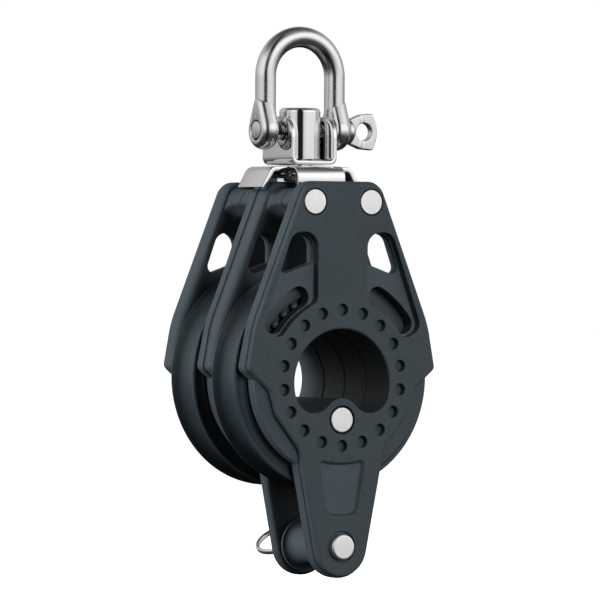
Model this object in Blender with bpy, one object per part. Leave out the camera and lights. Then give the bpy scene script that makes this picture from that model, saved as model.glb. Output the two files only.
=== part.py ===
"""Double ball-bearing block with a swivel shackle and a becket.

Two sheaves side by side turn on ball trains round one open hub. Each sheave sits between two
moulded cheeks whose half hubs and half heads meet at the sheave's middle plane. X runs across the
cheeks, Y from the front cheek to the rear one and Z up. The origin is on the sheave axis, at the
seam between the two middle cheeks. Sizes are in millimetres and are scaled to metres in the meshes.
"""

import math

import bmesh
import bpy
from mathutils import Matrix, Vector

MM = 0.001
GAP = 0.15  # kept by each of two pieces that touch, 0.3 in all

# Depths along Y, given for the rear half and mirrored for the front half
OUTER_FACE = 29.5
OUTER_PLATE_BACK = 22.1
SEAM_FACE = 0.15
MIDDLE_PLATE_BACK = 5.9
SHEAVE_PLANE = 14.0

# Sheave and its bearings
SHEAVE_RADIUS = 37.5
SHEAVE_HALF_WIDTH = 7.75
GROOVE_FLOOR = 32.0
GROOVE_HALF_WIDTH = 7.2
RIM_LAND = 0.3
HUB_RACE = 24.6
SHEAVE_RACE = 29.6
SHEAVE_LIP = 25.0
LOAD_BALL_PITCH = 27.1
LOAD_BALL = 2.3
LOAD_BALLS = 24
THRUST_PITCH = 27.5
THRUST_BALL = 1.35
THRUST_PLANE = 6.45  # from the sheave's middle plane to the thrust balls' middles
RACE_HALF_WIDTH = 2.7
CHANNEL_FLOOR = 4.9
CHANNEL_LIP = 25.75
CHANNEL_WALL = 29.25

# Cheeks
SKIRT_RADIUS = 33.0
OUTER_SKIRT_STEP = 2.0
MIDDLE_SKIRT_STEP = 0.6
HUB_OPENING = 18.7
HUB_OPENING_Z = -2.0
HUB_PIN_Z = -14.1
HUB_BUMP = 7.2
HUB_LOBE = 7.2
HOLE_RING = 22.84
HOLE_RADIUS = 2.0
HOLE_DEPTH = 3.6
HOLE_COUNT = 18
POCKET_DEPTH = 3.0
PANEL_DEPTH = 1.3
HEAD_PIN_X = 10.9
HEAD_PIN_Z = 58.95

# Pins
PIN_SHANK = 3.0
PIN_HOLE = 3.3
PIN_HEAD = 4.4
PIN_HEAD_DEPTH = 2.5
HEAD_PIN_RECESS = 4.75
HUB_PIN_RECESS = 4.9
REAR_RECESS = 0.2

# Becket
BECKET_Z = -56.7
BECKET_SHANK = 3.2
BECKET_HOLE = 3.5
BECKET_HEAD = 4.3
BECKET_RECESS = 5.3
BECKET_RECESS_DEPTH = 1.0
BECKET_HEAD_FRONT = -31.1
BECKET_PIN_END = 4.4
FRONT_TAIL = (-29.5, -22.6)
REAR_TAIL = (-4.3, -0.5)
TAIL_END_Z = -56.6
TAIL_END_RADIUS = 10.6
SPOOL_FLANGE = 9.1
SPOOL_BARREL = 6.1
SPOOL_ENDS = (-22.25, -4.65)
RING_HOLE_Y = 2.2
RING_HOLE = 1.65
RING_HOLE_TURN = math.radians(30)
RING_TILT = math.radians(10)
RING_RADIUS = 8.3
RING_SAG = 0.3  # the ring bends inside the straight hole, so its middle sits this much nearer
RING_WIRE = 0.85

# Head fitting
SADDLE_TOP = 71.3
SADDLE_SHEET = 2.0
SADDLE_LEG_HALF = 8.3
SADDLE_FLANGE_HALF = 9.3
FLANGE_PLANE = 14.1
LOCK_SHEET = 1.5
LOCK_BASE = 71.6
LOCK_TOP = 88.0
LOCK_HALF_DEPTH = 10.0
LOCK_HALF_WIDTH = 8.85
POST_RADIUS = 7.0
POST_BOTTOM = 73.5
POST_TOP = 91.0
STEM_RADIUS = 4.0
STEM_HOLE = 4.3
STEM_BOTTOM = 66.4
NUT_RADIUS = 6.3
NUT_Z = (66.25, 68.1)
WASHER_RADIUS = 6.5
WASHER_Z = (68.35, 69.05)

# Shackle
SHACKLE_PIN_Z = 83.3
BOW_BAR = 3.55
BOW_HALF = 13.5
BOW_CENTRE_Z = 101.6
EYE_RADIUS = 6.6
EYE_X = (11.1, 17.3)
TAB_HOLE_X = 24.6
TAB_HALF = 1.5

# The raised body of a cheek, right half from the top down, as corners with their fillet radii
BODY_HALF = [
    (0, 65.9, 0), (14.8, 65.9, 6), (34.2, 18.0, 40), (37.0, 2.8, 2.6), (28.6, -4.4, 5),
    (26.2, -12.6, 8), (17.0, -24.4, 4), (15.6, -30.0, 3), (0, -30.0, 0),
]
# The tail below it, down to where the round end begins
TAIL_SIDE = [(16.2, -26.0, 0), (15.3, -33.5, 12)]
# The moulded half head between two cheeks
HEAD_HALF = [(0, 65.5, 0), (14.4, 65.5, 6), (17.5, 58.6, 1.2), (11.5, 50.0, 8), (0, 50.0, 0)]
POCKET = [
    (9.7, 48.8, 5), (19.2, 48.8, 4.5), (31.0, 16.4, 3.8), (24.8, 13.2, 3),
    (22.4, 15.1, 0), (18.4, 19.8, 0), (14.2, 23.0, 0), (9.7, 25.6, 3),
]
POCKET_HOLE = [(10.1, 48.4, 4.6), (18.8, 48.4, 4.2), (24.2, 33.6, 2.2), (10.1, 38.6, 0.6)]
SLOT_PITCH = 31.05
SLOT_HALF_WIDTH = 3.6
SLOT_ANGLES = (36.0, 60.5)
PANEL_HALF = [(0, -27.6, 0), (9.1, -27.6, 1.6), (5.9, -46.2, 3.5), (0, -46.2, 0)]
FLANGE_HALF = [(0, 61.9, 0), (15.0, 61.9, 1.2), (15.0, 57.6, 1.5), (12.5, 54.2, 1.5), (0, 54.2, 0)]

ROUND_STEPS = 40


# ---- outlines: lists of (x, z) points ----

def rounded(corners, turn=20.0):
    """A closed outline: each corner (x, z, radius) becomes its tangent arc."""
    points = []
    for index, (x, z, radius) in enumerate(corners):
        here = Vector((x, z))
        before = Vector(corners[index - 1][:2]) - here
        after = Vector(corners[(index + 1) % len(corners)][:2]) - here
        if radius == 0:
            points.append((x, z))
            continue
        half = before.angle(after) / 2
        reach = radius / math.tan(half)
        centre = here + (before.normalized() + after.normalized()).normalized() * radius / math.sin(half)
        start = here + before.normalized() * reach - centre
        end = here + after.normalized() * reach - centre
        sweep = start.angle_signed(end)
        count = max(1, round(abs(math.degrees(sweep)) / turn))
        for step in range(count + 1):
            angle = math.atan2(start.y, start.x) - sweep * step / count
            points.append((centre.x + radius * math.cos(angle), centre.y + radius * math.sin(angle)))
    return points


def mirrored(half, turn=20.0):
    """The whole outline of a right half whose first and last corners lie on the middle line."""
    return rounded(half + [(-x, z, radius) for x, z, radius in reversed(half[1:-1])], turn)


def flipped(outline):
    return [(-x, z) for x, z in outline]


def arc(x, z, radius, start, end, steps):
    """Points along an arc, angles in degrees."""
    angles = [math.radians(start + (end - start) * step / steps) for step in range(steps + 1)]
    return [(x + radius * math.cos(angle), z + radius * math.sin(angle)) for angle in angles]


def circle(x, z, radius, steps):
    return arc(x, z, radius, 0, 360, steps)[:-1]


def hub_opening():
    """The round opening with a bump for the lower pin, and a lobe tangent to both on each side."""
    drop = HUB_OPENING_Z - HUB_PIN_Z
    far = HUB_OPENING - HUB_LOBE
    near = HUB_BUMP + HUB_LOBE
    below = (drop * drop + far * far - near * near) / (2 * drop)
    lobe = (math.sqrt(far * far - below * below), HUB_OPENING_Z - below)
    outer = math.degrees(math.atan2(-below, lobe[0]))
    inner = math.degrees(math.atan2(HUB_PIN_Z - lobe[1], -lobe[0]))
    right = arc(*lobe, HUB_LOBE, outer, inner, 4)
    bump = arc(0, HUB_PIN_Z, HUB_BUMP, inner + 180, -inner, 5)
    left = [(-x, z) for x, z in reversed(right)]
    crown = arc(0, HUB_OPENING_Z, HUB_OPENING, 180 - outer, outer, 24)
    return right + bump[1:-1] + left + crown[1:-1]


def arc_slot(pitch, half_width, start, end):
    """A slot along an arc round the sheave axis, with round ends."""
    outside = arc(0, 0, pitch + half_width, start, end, 4)
    inside = arc(0, 0, pitch - half_width, end, start, 4)
    far = arc(*polar(pitch, end), half_width, end, end + 180, 5)
    near = arc(*polar(pitch, start), half_width, start + 180, start + 360, 5)
    return outside + far[1:-1] + inside + near[1:-1]


def polar(radius, angle):
    return (radius * math.cos(math.radians(angle)), radius * math.sin(math.radians(angle)))


def tail_outline():
    """From inside the body down both sides to a round end tangent to them."""
    side = TAIL_SIDE[-1]
    reach = math.hypot(side[0], side[1] - TAIL_END_Z)
    lean = math.degrees(math.atan2(side[1] - TAIL_END_Z, side[0]) - math.acos(TAIL_END_RADIUS / reach))
    end = [(x, z, 0) for x, z in arc(0, TAIL_END_Z, TAIL_END_RADIUS, lean, -180 - lean, 18)]
    left = [(-x, z, radius) for x, z, radius in reversed(TAIL_SIDE)]
    return rounded([(16.2, -20.0, 0)] + TAIL_SIDE + end + left + [(-16.2, -20.0, 0)])


def ribbon(path, sheet):
    """The closed outline of a sheet bent along a path of points, half its thickness to each side."""
    sides = ([], [])
    for index, point in enumerate(path):
        here = Vector(point)
        ahead = Vector(path[min(index + 1, len(path) - 1)]) - here
        behind = here - Vector(path[max(index - 1, 0)])
        ahead = ahead.normalized() if ahead.length else behind.normalized()
        behind = behind.normalized() if behind.length else ahead
        along = (ahead + behind).normalized()
        across = Vector((-along.y, along.x)) * sheet / 2 / max(along.dot(ahead), 0.5)
        sides[0].append(tuple(here + across))
        sides[1].append(tuple(here - across))
    return sides[0] + sides[1][::-1]


# ---- solids ----

def finish(name, bm):
    """Turns a bmesh in millimetres into an object in metres, its faces pointing out."""
    bmesh.ops.remove_doubles(bm, verts=bm.verts[:], dist=0.0005)
    bmesh.ops.recalc_face_normals(bm, faces=bm.faces[:])
    bmesh.ops.scale(bm, vec=(MM, MM, MM), verts=bm.verts[:])
    mesh = bpy.data.meshes.new(name)
    bm.to_mesh(mesh)
    bm.free()
    piece = bpy.data.objects.new(name, mesh)
    bpy.context.scene.collection.objects.link(piece)
    return piece


def slab(name, loops, low, high, across="Y"):
    """Outlines filled and extruded along an axis; each loop after the first of a piece is a hole.

    Across Y a loop holds (x, z) points, across X (y, z) and across Z (x, y).
    """
    place = {
        "X": lambda u, v, w: (w, u, v),
        "Y": lambda u, v, w: (u, w, v),
        "Z": lambda u, v, w: (u, v, w),
    }[across]
    bm = bmesh.new()
    for loop in loops:
        verts = [bm.verts.new(place(u, v, low)) for u, v in loop]
        for index, vert in enumerate(verts):
            bm.edges.new((verts[index - 1], vert))
    bmesh.ops.triangle_fill(bm, use_beauty=True, edges=bm.edges[:])
    grown = bmesh.ops.extrude_face_region(bm, geom=bm.faces[:])["geom"]
    moved = [item for item in grown if isinstance(item, bmesh.types.BMVert)]
    bmesh.ops.translate(bm, vec=place(0, 0, high - low), verts=moved)
    return finish(name, bm)


def turned(name, profile, axis="Y", centre=(0, 0, 0), steps=ROUND_STEPS, ring=False):
    """A profile of (radius, along) points spun round an axis; a ring's profile is a closed loop."""
    aim = {"X": (1, 0, 0), "Y": (0, 1, 0), "Z": (0, 0, 1)}[axis]
    side = Vector((0, 0, 1)) if axis != "Z" else Vector((1, 0, 0))
    middle = Vector(centre)
    bm = bmesh.new()
    verts = [bm.verts.new(middle + side * radius + Vector(aim) * along) for radius, along in profile]
    edges = [bm.edges.new(pair) for pair in zip(verts, verts[1:])]
    if ring:
        edges.append(bm.edges.new((verts[-1], verts[0])))
    bmesh.ops.spin(
        bm, geom=verts + edges, cent=middle, axis=aim, angle=math.tau, steps=steps, use_merge=True
    )
    return finish(name, bm)


def rod(name, radius, low, high, axis="Y", centre=(0, 0, 0), steps=24):
    return turned(name, [(0, low), (radius, low), (radius, high), (0, high)], axis, centre, steps)


def tube(name, path, radius, sides=10, closed=False):
    """A round bar along a flat path of points; a radius may be one number or one for each point."""
    points = [Vector(point) for point in path]
    count = len(points)
    radii = radius if isinstance(radius, list) else [radius] * count
    normal = (points[1] - points[0]).cross(points[count // 2] - points[0]).normalized()
    bm = bmesh.new()
    rings = []
    for index, point in enumerate(points):
        before = points[index - 1] if closed or index else point
        after = points[(index + 1) % count] if closed or index < count - 1 else point
        outward = (after - before).normalized().cross(normal)
        rings.append([
            bm.verts.new(point + radii[index] * (
                math.cos(math.tau * side / sides) * outward + math.sin(math.tau * side / sides) * normal
            ))
            for side in range(sides)
        ])
    pairs = list(zip(rings, rings[1:])) + ([(rings[-1], rings[0])] if closed else [])
    for first, second in pairs:
        for side in range(sides):
            bm.faces.new((first[side - 1], first[side], second[side], second[side - 1]))
    if not closed:
        bm.faces.new(rings[0])
        bm.faces.new(rings[-1])
    return finish(name, bm)


def change(piece, operation, tools):
    """Adds one Boolean for each tool, and keeps the tool as a hidden guide."""
    for tool in tools:
        tool.hide_render = True
        tool.display_type = "WIRE"
        step = piece.modifiers.new(tool.name, "BOOLEAN")
        step.operation = operation
        step.object = tool
        step.solver = "EXACT"
    return piece


def add(piece, *tools):
    return change(piece, "UNION", tools)


def cut(piece, *tools):
    return change(piece, "DIFFERENCE", tools)


def merged(name, pieces):
    """Several separate shapes as one guide, for a Boolean that takes them all at once."""
    bm = bmesh.new()
    for piece in pieces:
        bm.from_mesh(piece.data)
        bpy.data.objects.remove(piece)
    mesh = bpy.data.meshes.new(name)
    bm.to_mesh(mesh)
    bm.free()
    guide = bpy.data.objects.new(name, mesh)
    bpy.context.scene.collection.objects.link(guide)
    return guide


# ---- materials and placing ----

def finish_of(name, colour, roughness, metallic=0.0):
    """A plain Principled material; the colour is linear."""
    material = bpy.data.materials.new(name)
    material.use_nodes = True
    shader = material.node_tree.nodes["Principled BSDF"]
    shader.inputs["Base Color"].default_value = (*colour, 1.0)
    shader.inputs["Roughness"].default_value = roughness
    shader.inputs["Metallic"].default_value = metallic
    material.diffuse_color = (*colour, 1.0)
    return material


def coloured(piece, colour, roughness, metallic=0.0):
    piece.data.materials.append(finish_of(piece.name, colour, roughness, metallic))
    piece.data.shade_smooth()
    piece.data.set_sharp_from_angle(angle=math.radians(30))
    return piece


def nylon(piece):
    return coloured(piece, (0.045, 0.055, 0.062), 0.62)


def acetal(piece):
    return coloured(piece, (0.035, 0.042, 0.048), 0.38)


def steel(piece, roughness=0.15):
    return coloured(piece, (0.62, 0.62, 0.61), roughness, 1.0)


def turning_centre(name, point, parent=None):
    """An empty on a joint's axis, the parent of what turns or slides there."""
    centre = bpy.data.objects.new(name, None)
    centre.empty_display_size = 0.01
    bpy.context.scene.collection.objects.link(centre)
    centre.location = Vector(point) * MM
    hang(centre, parent)
    return centre


def world_place(centre):
    place = centre.location.copy()
    while centre.parent:
        centre = centre.parent
        place += centre.location
    return place


def hang(thing, parent):
    if parent:
        thing.parent = parent
        thing.location -= world_place(parent)


def carry(parent, *pieces):
    """Moves each piece's origin to the empty's point, leaving its shape where it is, and parents it."""
    for piece in pieces:
        place = world_place(parent)
        piece.data.transform(Matrix.Translation(-place))
        piece.parent = parent


# ---- the cheeks ----

def cheek(name, side, outer, inner, skirt_step, tail=None):
    """One moulded cheek with its half hub and half head, on the front (-1) or rear (+1) half.

    outer and inner are the plate's faces, measured from the seam. The half hub and the half head
    reach from the plate to the sheave's middle plane.
    """
    inward = 1 if outer < inner else -1
    meeting = SHEAVE_PLANE - inward * GAP
    middle = (outer + inner) / 2
    skirt_face = outer + inward * skirt_step
    plate = slab(name, [mirrored(BODY_HALF)], side * outer, side * inner)
    skirt = slab(name + " skirt", [arc(0, 0, SKIRT_RADIUS, 180, 360, 20)],
                 side * skirt_face, side * (inner - inward * 0.2))
    hub = slab(name + " hub", [circle(0, 0, HUB_RACE, 36)], side * middle, side * meeting)
    head = slab(name + " head", [mirrored(HEAD_HALF)], side * middle, side * meeting)
    add(plate, skirt, hub, head)
    if tail:
        add(plate, slab(name + " tail", [tail_outline()], *tail))
    outside = OUTER_FACE + 5
    through = [slab("opening", [hub_opening()], -outside, outside)]
    for outline in (rounded(POCKET_HOLE), arc_slot(SLOT_PITCH, SLOT_HALF_WIDTH, *SLOT_ANGLES)):
        through.append(slab("right", [outline], -outside, outside))
        through.append(slab("left", [flipped(outline)], -outside, outside))
    for x, z in ((-HEAD_PIN_X, HEAD_PIN_Z), (HEAD_PIN_X, HEAD_PIN_Z), (0, HUB_PIN_Z)):
        through.append(rod("pin", PIN_HOLE, -outside, outside, centre=(x, 0, z), steps=16))
    if tail:
        through.append(rod("becket", BECKET_HOLE, -outside, outside, centre=(0, 0, BECKET_Z), steps=20))
    cut(plate, merged(name + " openings", through), flange_slot(name, side))
    return nylon(plate)


def flange_slot(name, side):
    """Room for the saddle's flange in the two half heads, wider below than at the mouth."""
    room = 0.35
    wide = [(x + room if x else 0, z + (room if z > 60 else -room), radius) for x, z, radius in FLANGE_HALF]
    mouth = SADDLE_FLANGE_HALF + room
    near, far = FLANGE_PLANE - 1.3, FLANGE_PLANE + 1.3
    chamber = slab(name + " slot", [mirrored(wide)], side * near, side * far)
    neck = slab(name + " mouth", [[(-mouth, 62), (mouth, 62), (mouth, 67), (-mouth, 67)]],
                side * near, side * far)
    return merged_union(name + " slot", chamber, neck)


def merged_union(name, first, second):
    """Two overlapping guides made one by a Boolean."""
    first.name = name + " guide"
    return add(first, second)


def outer_details(plate, side):
    """Pockets, blind holes and pin-head recesses in an outer cheek's face."""
    beyond = side * (OUTER_FACE + 2)
    pockets = [
        slab("pocket", [outline], beyond, side * (OUTER_FACE - POCKET_DEPTH))
        for outline in (rounded(POCKET), flipped(rounded(POCKET)))
    ]
    holes = []
    for index in range(HOLE_COUNT):
        x, z = polar(HOLE_RING, 90 + index * 360 / HOLE_COUNT)
        holes.append(slab("hole", [circle(x, z, HOLE_RADIUS, 8)], beyond, side * (OUTER_FACE - HOLE_DEPTH)))
    recess_floor = side * (OUTER_FACE - PIN_HEAD_DEPTH - 2 * GAP - REAR_RECESS)
    for x, z, radius in (
        (-HEAD_PIN_X, HEAD_PIN_Z, HEAD_PIN_RECESS),
        (HEAD_PIN_X, HEAD_PIN_Z, HEAD_PIN_RECESS),
        (0, HUB_PIN_Z, HUB_PIN_RECESS),
    ):
        holes.append(slab("recess", [circle(x, z, radius, 16)], beyond, recess_floor))
    cut(plate, merged(plate.name + " pockets", pockets), merged(plate.name + " holes", holes))


def tail_details(plate):
    """The sunk panel and the pin-head recess on the front tail."""
    front = -OUTER_FACE
    panel = slab("panel", [mirrored(PANEL_HALF)], front - 2, front + PANEL_DEPTH)
    recess = slab("recess", [circle(0, BECKET_Z, BECKET_RECESS, 24)], front - 2, front + BECKET_RECESS_DEPTH)
    cut(plate, merged("tail recesses", [panel, recess]))


# ---- sheaves and bearings ----

def sheave(name, plane):
    """Rope groove outside, a race for the load balls inside and a thrust channel in each flank."""
    rim = GROOVE_HALF_WIDTH
    rise = SHEAVE_RADIUS - GROOVE_FLOOR
    bow = (rim * rim + rise * rise) / (2 * rise)
    sweep = math.degrees(math.asin(min(1.0, rim / bow)))
    groove = [
        (GROOVE_FLOOR + bow - bow * math.cos(math.radians(angle)), bow * math.sin(math.radians(angle)))
        for angle in [sweep * step / 3 for step in range(-3, 4)]
    ]
    half = [
        (SHEAVE_RADIUS - RIM_LAND, SHEAVE_HALF_WIDTH), (CHANNEL_WALL, SHEAVE_HALF_WIDTH),
        (CHANNEL_WALL, CHANNEL_FLOOR), (CHANNEL_LIP, CHANNEL_FLOOR), (CHANNEL_LIP, SHEAVE_HALF_WIDTH),
        (SHEAVE_LIP, SHEAVE_HALF_WIDTH), (SHEAVE_LIP, RACE_HALF_WIDTH), (SHEAVE_RACE, RACE_HALF_WIDTH),
    ]
    profile = groove + half + [(radius, -along) for radius, along in reversed(half)]
    return acetal(turned(name, profile, centre=(0, plane, 0), steps=40, ring=True))


def load_balls(name, plane):
    """The ball train as one string of beads: the bar's radius follows each ball's outline."""
    stations = 4
    count = LOAD_BALLS * stations
    path, radii = [], []
    for index in range(count):
        angle = math.tau * index / count
        path.append((LOAD_BALL_PITCH * math.cos(angle), plane, LOAD_BALL_PITCH * math.sin(angle)))
        from_middle = (index % stations - stations / 2 + 0.5) / (stations / 2)
        spread = from_middle * LOAD_BALL_PITCH * math.pi / LOAD_BALLS
        radii.append(math.sqrt(max(LOAD_BALL ** 2 - spread ** 2, 0.6 ** 2)))
    return coloured(tube(name, path, radii, sides=6, closed=True), (0.55, 0.53, 0.48), 0.35)


def thrust_balls(name, plane):
    """The small balls that take side load, as the plain ring that they fill."""
    profile = [
        (THRUST_PITCH + THRUST_BALL * math.cos(angle), THRUST_BALL * math.sin(angle))
        for angle in [math.tau * step / 6 for step in range(6)]
    ]
    ring = turned(name, profile, centre=(0, plane, 0), steps=30, ring=True)
    return coloured(ring, (0.05, 0.05, 0.05), 0.3)


# ---- pins, spool and ring ----

def through_pin(name, x, z):
    """A pin with a flush head at each end, right through the four cheeks."""
    front, rear = -OUTER_FACE, OUTER_FACE - REAR_RECESS
    return steel(turned(name, [
        (0, front), (PIN_HEAD, front), (PIN_HEAD, front + PIN_HEAD_DEPTH),
        (PIN_SHANK, front + PIN_HEAD_DEPTH), (PIN_SHANK, rear - PIN_HEAD_DEPTH),
        (PIN_HEAD, rear - PIN_HEAD_DEPTH), (PIN_HEAD, rear), (0, rear),
    ], centre=(x, 0, z), steps=24), 0.3)


def becket_pin():
    """A headed pin with a cross hole for the ring near its plain end."""
    shoulder = -OUTER_FACE + BECKET_RECESS_DEPTH - 2 * GAP
    pin = turned("becket_pin", [
        (0, BECKET_HEAD_FRONT), (BECKET_HEAD - 0.4, BECKET_HEAD_FRONT),
        (BECKET_HEAD, BECKET_HEAD_FRONT + 0.4), (BECKET_HEAD, shoulder), (BECKET_SHANK, shoulder),
        (BECKET_SHANK, BECKET_PIN_END - 0.5),
        (BECKET_SHANK - 0.5, BECKET_PIN_END), (0, BECKET_PIN_END),
    ], centre=(0, 0, BECKET_Z), steps=24)
    hole = rod("ring hole", RING_HOLE, -6, 6, axis="X", steps=14)
    hole.data.transform(Matrix.Rotation(-RING_HOLE_TURN, 4, "Y"))
    hole.location = Vector((0, RING_HOLE_Y, BECKET_Z)) * MM
    return steel(cut(pin, hole), 0.25)


def becket_spool():
    """A waisted roller on the becket pin, for a rope's end splice."""
    front, rear = SPOOL_ENDS
    waist = (SPOOL_FLANGE - SPOOL_BARREL)
    half = [
        (SPOOL_FLANGE - (waist * math.sin(angle)), 0.8 + 3.2 * (1 - math.cos(angle)))
        for angle in [math.pi / 2 * step / 3 for step in range(4)]
    ]
    profile = (
        [(BECKET_HOLE, front), (SPOOL_FLANGE, front)] + [(radius, front + along) for radius, along in half]
        + [(radius, rear - along) for radius, along in reversed(half)]
        + [(SPOOL_FLANGE, rear), (BECKET_HOLE, rear)]
    )
    return nylon(turned("becket_spool", profile, centre=(0, 0, BECKET_Z), steps=24, ring=True))


def split_ring():
    """The ring through the becket pin's cross hole, nearly level and reaching to the rear."""
    along = Vector((math.cos(RING_HOLE_TURN), 0, math.sin(RING_HOLE_TURN)))
    back = Vector((-math.sin(RING_HOLE_TURN) * math.sin(RING_TILT), math.cos(RING_TILT),
                   math.cos(RING_HOLE_TURN) * math.sin(RING_TILT)))
    middle = Vector((0, RING_HOLE_Y, BECKET_Z)) + back * (RING_RADIUS - RING_SAG)
    path = [
        middle + RING_RADIUS * (along * math.cos(angle) + back * math.sin(angle))
        for angle in [math.tau * step / 28 for step in range(28)]
    ]
    return steel(tube("split_ring", path, RING_WIRE, sides=6, closed=True), 0.2)


# ---- head fitting ----

def saddle():
    """A pressed steel cross: two legs over the head's sides, two flanges down into the cheeks."""
    middle = SADDLE_TOP - SADDLE_SHEET / 2
    leg = [(-18.7, 63.6), (-17.0, 66.6), (-15.4, 69.2), (-14.4, 70.1), (-13.0, middle)]
    legs = slab("saddle", [ribbon(leg + [(-x, z) for x, z in reversed(leg)], SADDLE_SHEET)],
                -SADDLE_LEG_HALF, SADDLE_LEG_HALF)
    bend = 2.6
    turn = arc(FLANGE_PLANE - bend, middle - bend, bend, 90, 0, 4)
    down = turn + [(FLANGE_PLANE, 58.0)]
    across = [(-y, z) for y, z in reversed(down)] + down
    flanges = slab("saddle flanges", [ribbon(across, SADDLE_SHEET)],
                   -SADDLE_FLANGE_HALF, SADDLE_FLANGE_HALF, across="X")
    ears = [
        slab("saddle ear", [mirrored(FLANGE_HALF)],
             side * (FLANGE_PLANE - 0.98), side * (FLANGE_PLANE + 0.98))
        for side in (-1, 1)
    ]
    holes = [
        rod("pin", PIN_HOLE, -20, 20, centre=(side * HEAD_PIN_X, 0, HEAD_PIN_Z), steps=16)
        for side in (-1, 1)
    ]
    holes.append(rod("stem", STEM_HOLE, 60, 75, axis="Z", steps=20))
    add(legs, flanges, merged("saddle ears", ears))
    return steel(cut(legs, merged("saddle holes", holes)), 0.12)


def lock_plate():
    """A cage bent from sheet: a base under the post and an ear each side of it, on the pin."""
    middle = LOCK_BASE + LOCK_SHEET / 2
    wall = LOCK_HALF_WIDTH - LOCK_SHEET / 2
    bend = 1.6
    side = arc(wall - bend, middle + bend, bend, -90, 0, 3) + [(wall, LOCK_TOP + 2)]
    cage = slab("lock_plate", [ribbon([(-x, z) for x, z in reversed(side)] + side, LOCK_SHEET)],
                -LOCK_HALF_DEPTH - 1, LOCK_HALF_DEPTH + 1)
    ear = rounded([
        (-LOCK_HALF_DEPTH, LOCK_BASE - 1, 0), (LOCK_HALF_DEPTH, LOCK_BASE - 1, 0),
        (LOCK_HALF_DEPTH, LOCK_TOP, 7), (-LOCK_HALF_DEPTH, LOCK_TOP, 7),
    ])
    change(cage, "INTERSECT", [slab("ear shape", [ear], -12, 12, across="X")])
    holes = [
        rod("pin", PIN_HOLE, -12, 12, axis="X", centre=(0, 0, SHACKLE_PIN_Z), steps=20),
        rod("stem", STEM_HOLE, 66, 76, axis="Z", steps=20),
    ]
    return steel(cut(cage, merged("lock plate holes", holes)), 0.12)


def head_post():
    """The swivel post: a round head on the shackle pin and a stem down through the saddle."""
    post = turned("head_post", [
        (0, STEM_BOTTOM), (STEM_RADIUS, STEM_BOTTOM), (STEM_RADIUS, POST_BOTTOM),
        (POST_RADIUS - 0.3, POST_BOTTOM), (POST_RADIUS, POST_BOTTOM + 0.3),
        (POST_RADIUS, POST_TOP - 1.6), (POST_RADIUS - 0.5, POST_TOP - 0.6),
        (POST_RADIUS - 1.6, POST_TOP), (0, POST_TOP),
    ], axis="Z", steps=24)
    bore = rod("post bore", PIN_HOLE, -9, 9, axis="X", centre=(0, 0, SHACKLE_PIN_Z), steps=20)
    return steel(cut(post, bore))


def stem_ring(name, radius, span, sides):
    """A washer or nut round the post's stem, under the saddle."""
    outlines = [circle(0, 0, radius, sides), circle(0, 0, STEM_HOLE, 20)]
    return steel(slab(name, outlines, *span, across="Z"), 0.2)


# ---- shackle ----

def shackle_bow():
    """A forged bow: two straight legs, a half round crown and an eye at each end."""
    leg_foot = SHACKLE_PIN_Z + 2
    crown = arc(0, BOW_CENTRE_Z, BOW_HALF, 180, 0, 12)
    route = [(-BOW_HALF, leg_foot)] + crown + [(BOW_HALF, leg_foot)]
    bow = tube("shackle_bow", [(x, 0, z) for x, z in route], BOW_BAR, sides=10)
    near, far = EYE_X
    for side in (-1, 1):
        eye = turned("shackle eye", [
            (0, near), (EYE_RADIUS - 0.8, near), (EYE_RADIUS, near + 1.2), (EYE_RADIUS, far - 2.4),
            (EYE_RADIUS - 0.9, far - 0.8), (EYE_RADIUS - 2.2, far), (0, far),
        ], axis="X", centre=(0, 0, SHACKLE_PIN_Z), steps=22)
        eye.data.transform(Matrix.Diagonal((side, 1, 1, 1)))
        if side < 0:
            eye.data.flip_normals()
        add(bow, eye)
    cut(bow, rod("eye bores", PIN_HOLE, -20, 20, axis="X", centre=(0, 0, SHACKLE_PIN_Z), steps=20))
    return steel(bow, 0.22)


def shackle_pin():
    """A round pin with a shoulder outside the right eye and a flat tab with a hole to turn it by."""
    far = EYE_X[1]
    pin = turned("shackle_pin", [
        (0, -far), (PIN_SHANK - 0.3, -far), (PIN_SHANK, -far + 0.3), (PIN_SHANK, far + 0.25),
        (4.4, far + 0.25),
        (4.4, far + 1.6), (3.6, far + 2.6), (0, far + 2.6),
    ], axis="X", centre=(0, 0, SHACKLE_PIN_Z), steps=24)
    tab = rounded([
        (far + 1.0, SHACKLE_PIN_Z - 3.9, 0), (far + 6.0, SHACKLE_PIN_Z - 5.9, 3),
        (28.0, SHACKLE_PIN_Z - 6.3, 1),
        (30.6, SHACKLE_PIN_Z, 9), (28.0, SHACKLE_PIN_Z + 6.3, 1), (far + 6.0, SHACKLE_PIN_Z + 5.9, 3),
        (far + 1.0, SHACKLE_PIN_Z + 3.9, 0),
    ])
    eye = circle(TAB_HOLE_X, SHACKLE_PIN_Z, 3.0, 20)
    return steel(add(pin, slab("pin tab", [tab, eye], -TAB_HALF, TAB_HALF)), 0.22)


# ---- the block ----

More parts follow.
